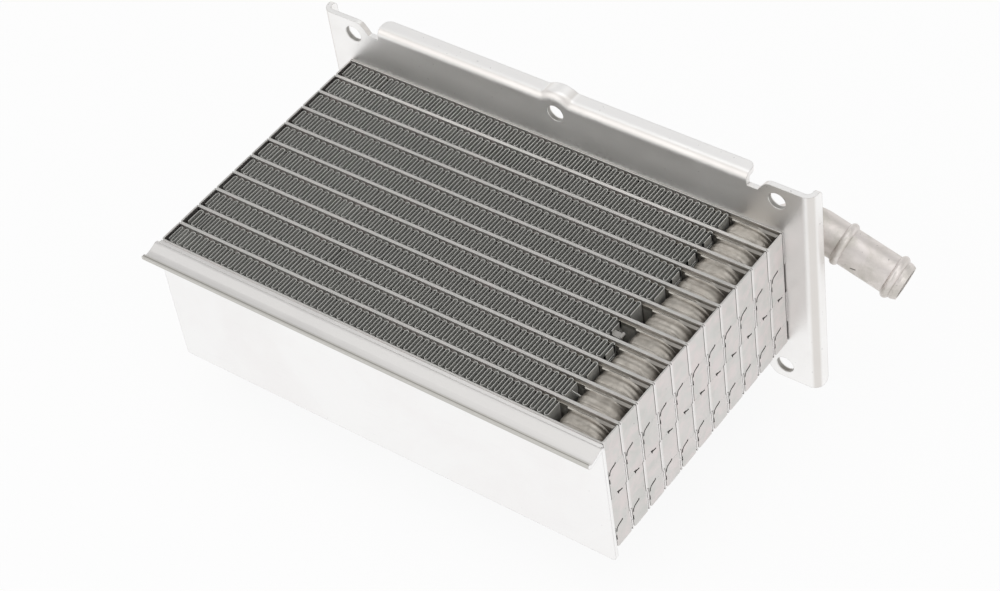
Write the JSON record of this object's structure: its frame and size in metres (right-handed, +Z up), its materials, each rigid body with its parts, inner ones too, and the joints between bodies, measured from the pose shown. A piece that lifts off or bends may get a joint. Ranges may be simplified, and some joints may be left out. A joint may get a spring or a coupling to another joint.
{
  "type": "water-cooled charge-air intercooler",
  "caption": "Brazed aluminium water-to-air intercooler core on a screw-on flange, with folded air fins, pressed coolant tubes and hose spigots.",
  "frame": {"origin": "middle of the six screw holes, on the front face of the flange, which meets the intake manifold", "axes": "+X along the fins towards the end where the upper pipe points, +Y out of the manifold towards the pipes, +Z up, across the core the way the charge air flows"},
  "size_m": [0.2359, 0.152, 0.099],
  "materials": {
    "pressed_sheet": "brazed pressed sheet, pale satin grey with faint stains",
    "fin_strip": "thin folded strip, satin, dark between the folds",
    "plate_sheet": "brazed sheet, pale satin grey with faint smudges",
    "flange_sheet": "brazed thick sheet, satin with dark specks",
    "pipe": "drawn tube, satin with light scratches"
  },
  "bodies": {
    "root": {"front_end_plate": "plate_sheet", "front_closing_plate": "pressed_sheet", "fin_01": "fin_strip", "fin_02": "fin_strip", "fin_03": "fin_strip", "fin_04": "fin_strip", "fin_05": "fin_strip", "fin_06": "fin_strip", "fin_07": "fin_strip", "fin_08": "fin_strip", "fin_09": "fin_strip", "fin_10": "fin_strip", "fin_11": "fin_strip", "tube_01_front_half": "pressed_sheet", "tube_01_rear_half": "pressed_sheet", "tube_02_front_half": "pressed_sheet", "tube_02_rear_half": "pressed_sheet", "tube_03_front_half": "pressed_sheet", "tube_03_rear_half": "pressed_sheet", "tube_04_front_half": "pressed_sheet", "tube_04_rear_half": "pressed_sheet", "tube_05_front_half": "pressed_sheet", "tube_05_rear_half": "pressed_sheet", "tube_06_front_half": "pressed_sheet", "tube_06_rear_half": "pressed_sheet", "tube_07_front_half": "pressed_sheet", "tube_07_rear_half": "pressed_sheet", "tube_08_front_half": "pressed_sheet", "tube_08_rear_half": "pressed_sheet", "tube_09_front_half": "pressed_sheet", "tube_09_rear_half": "pressed_sheet", "tube_10_front_half": "pressed_sheet", "tube_10_rear_half": "pressed_sheet", "rear_closing_plate": "pressed_sheet", "flange": "flange_sheet", "upper_pipe": "pipe", "upper_pipe_collar": "pipe", "lower_pipe": "pipe", "lower_pipe_collar": "pipe"}
  },
  "joints": []
}
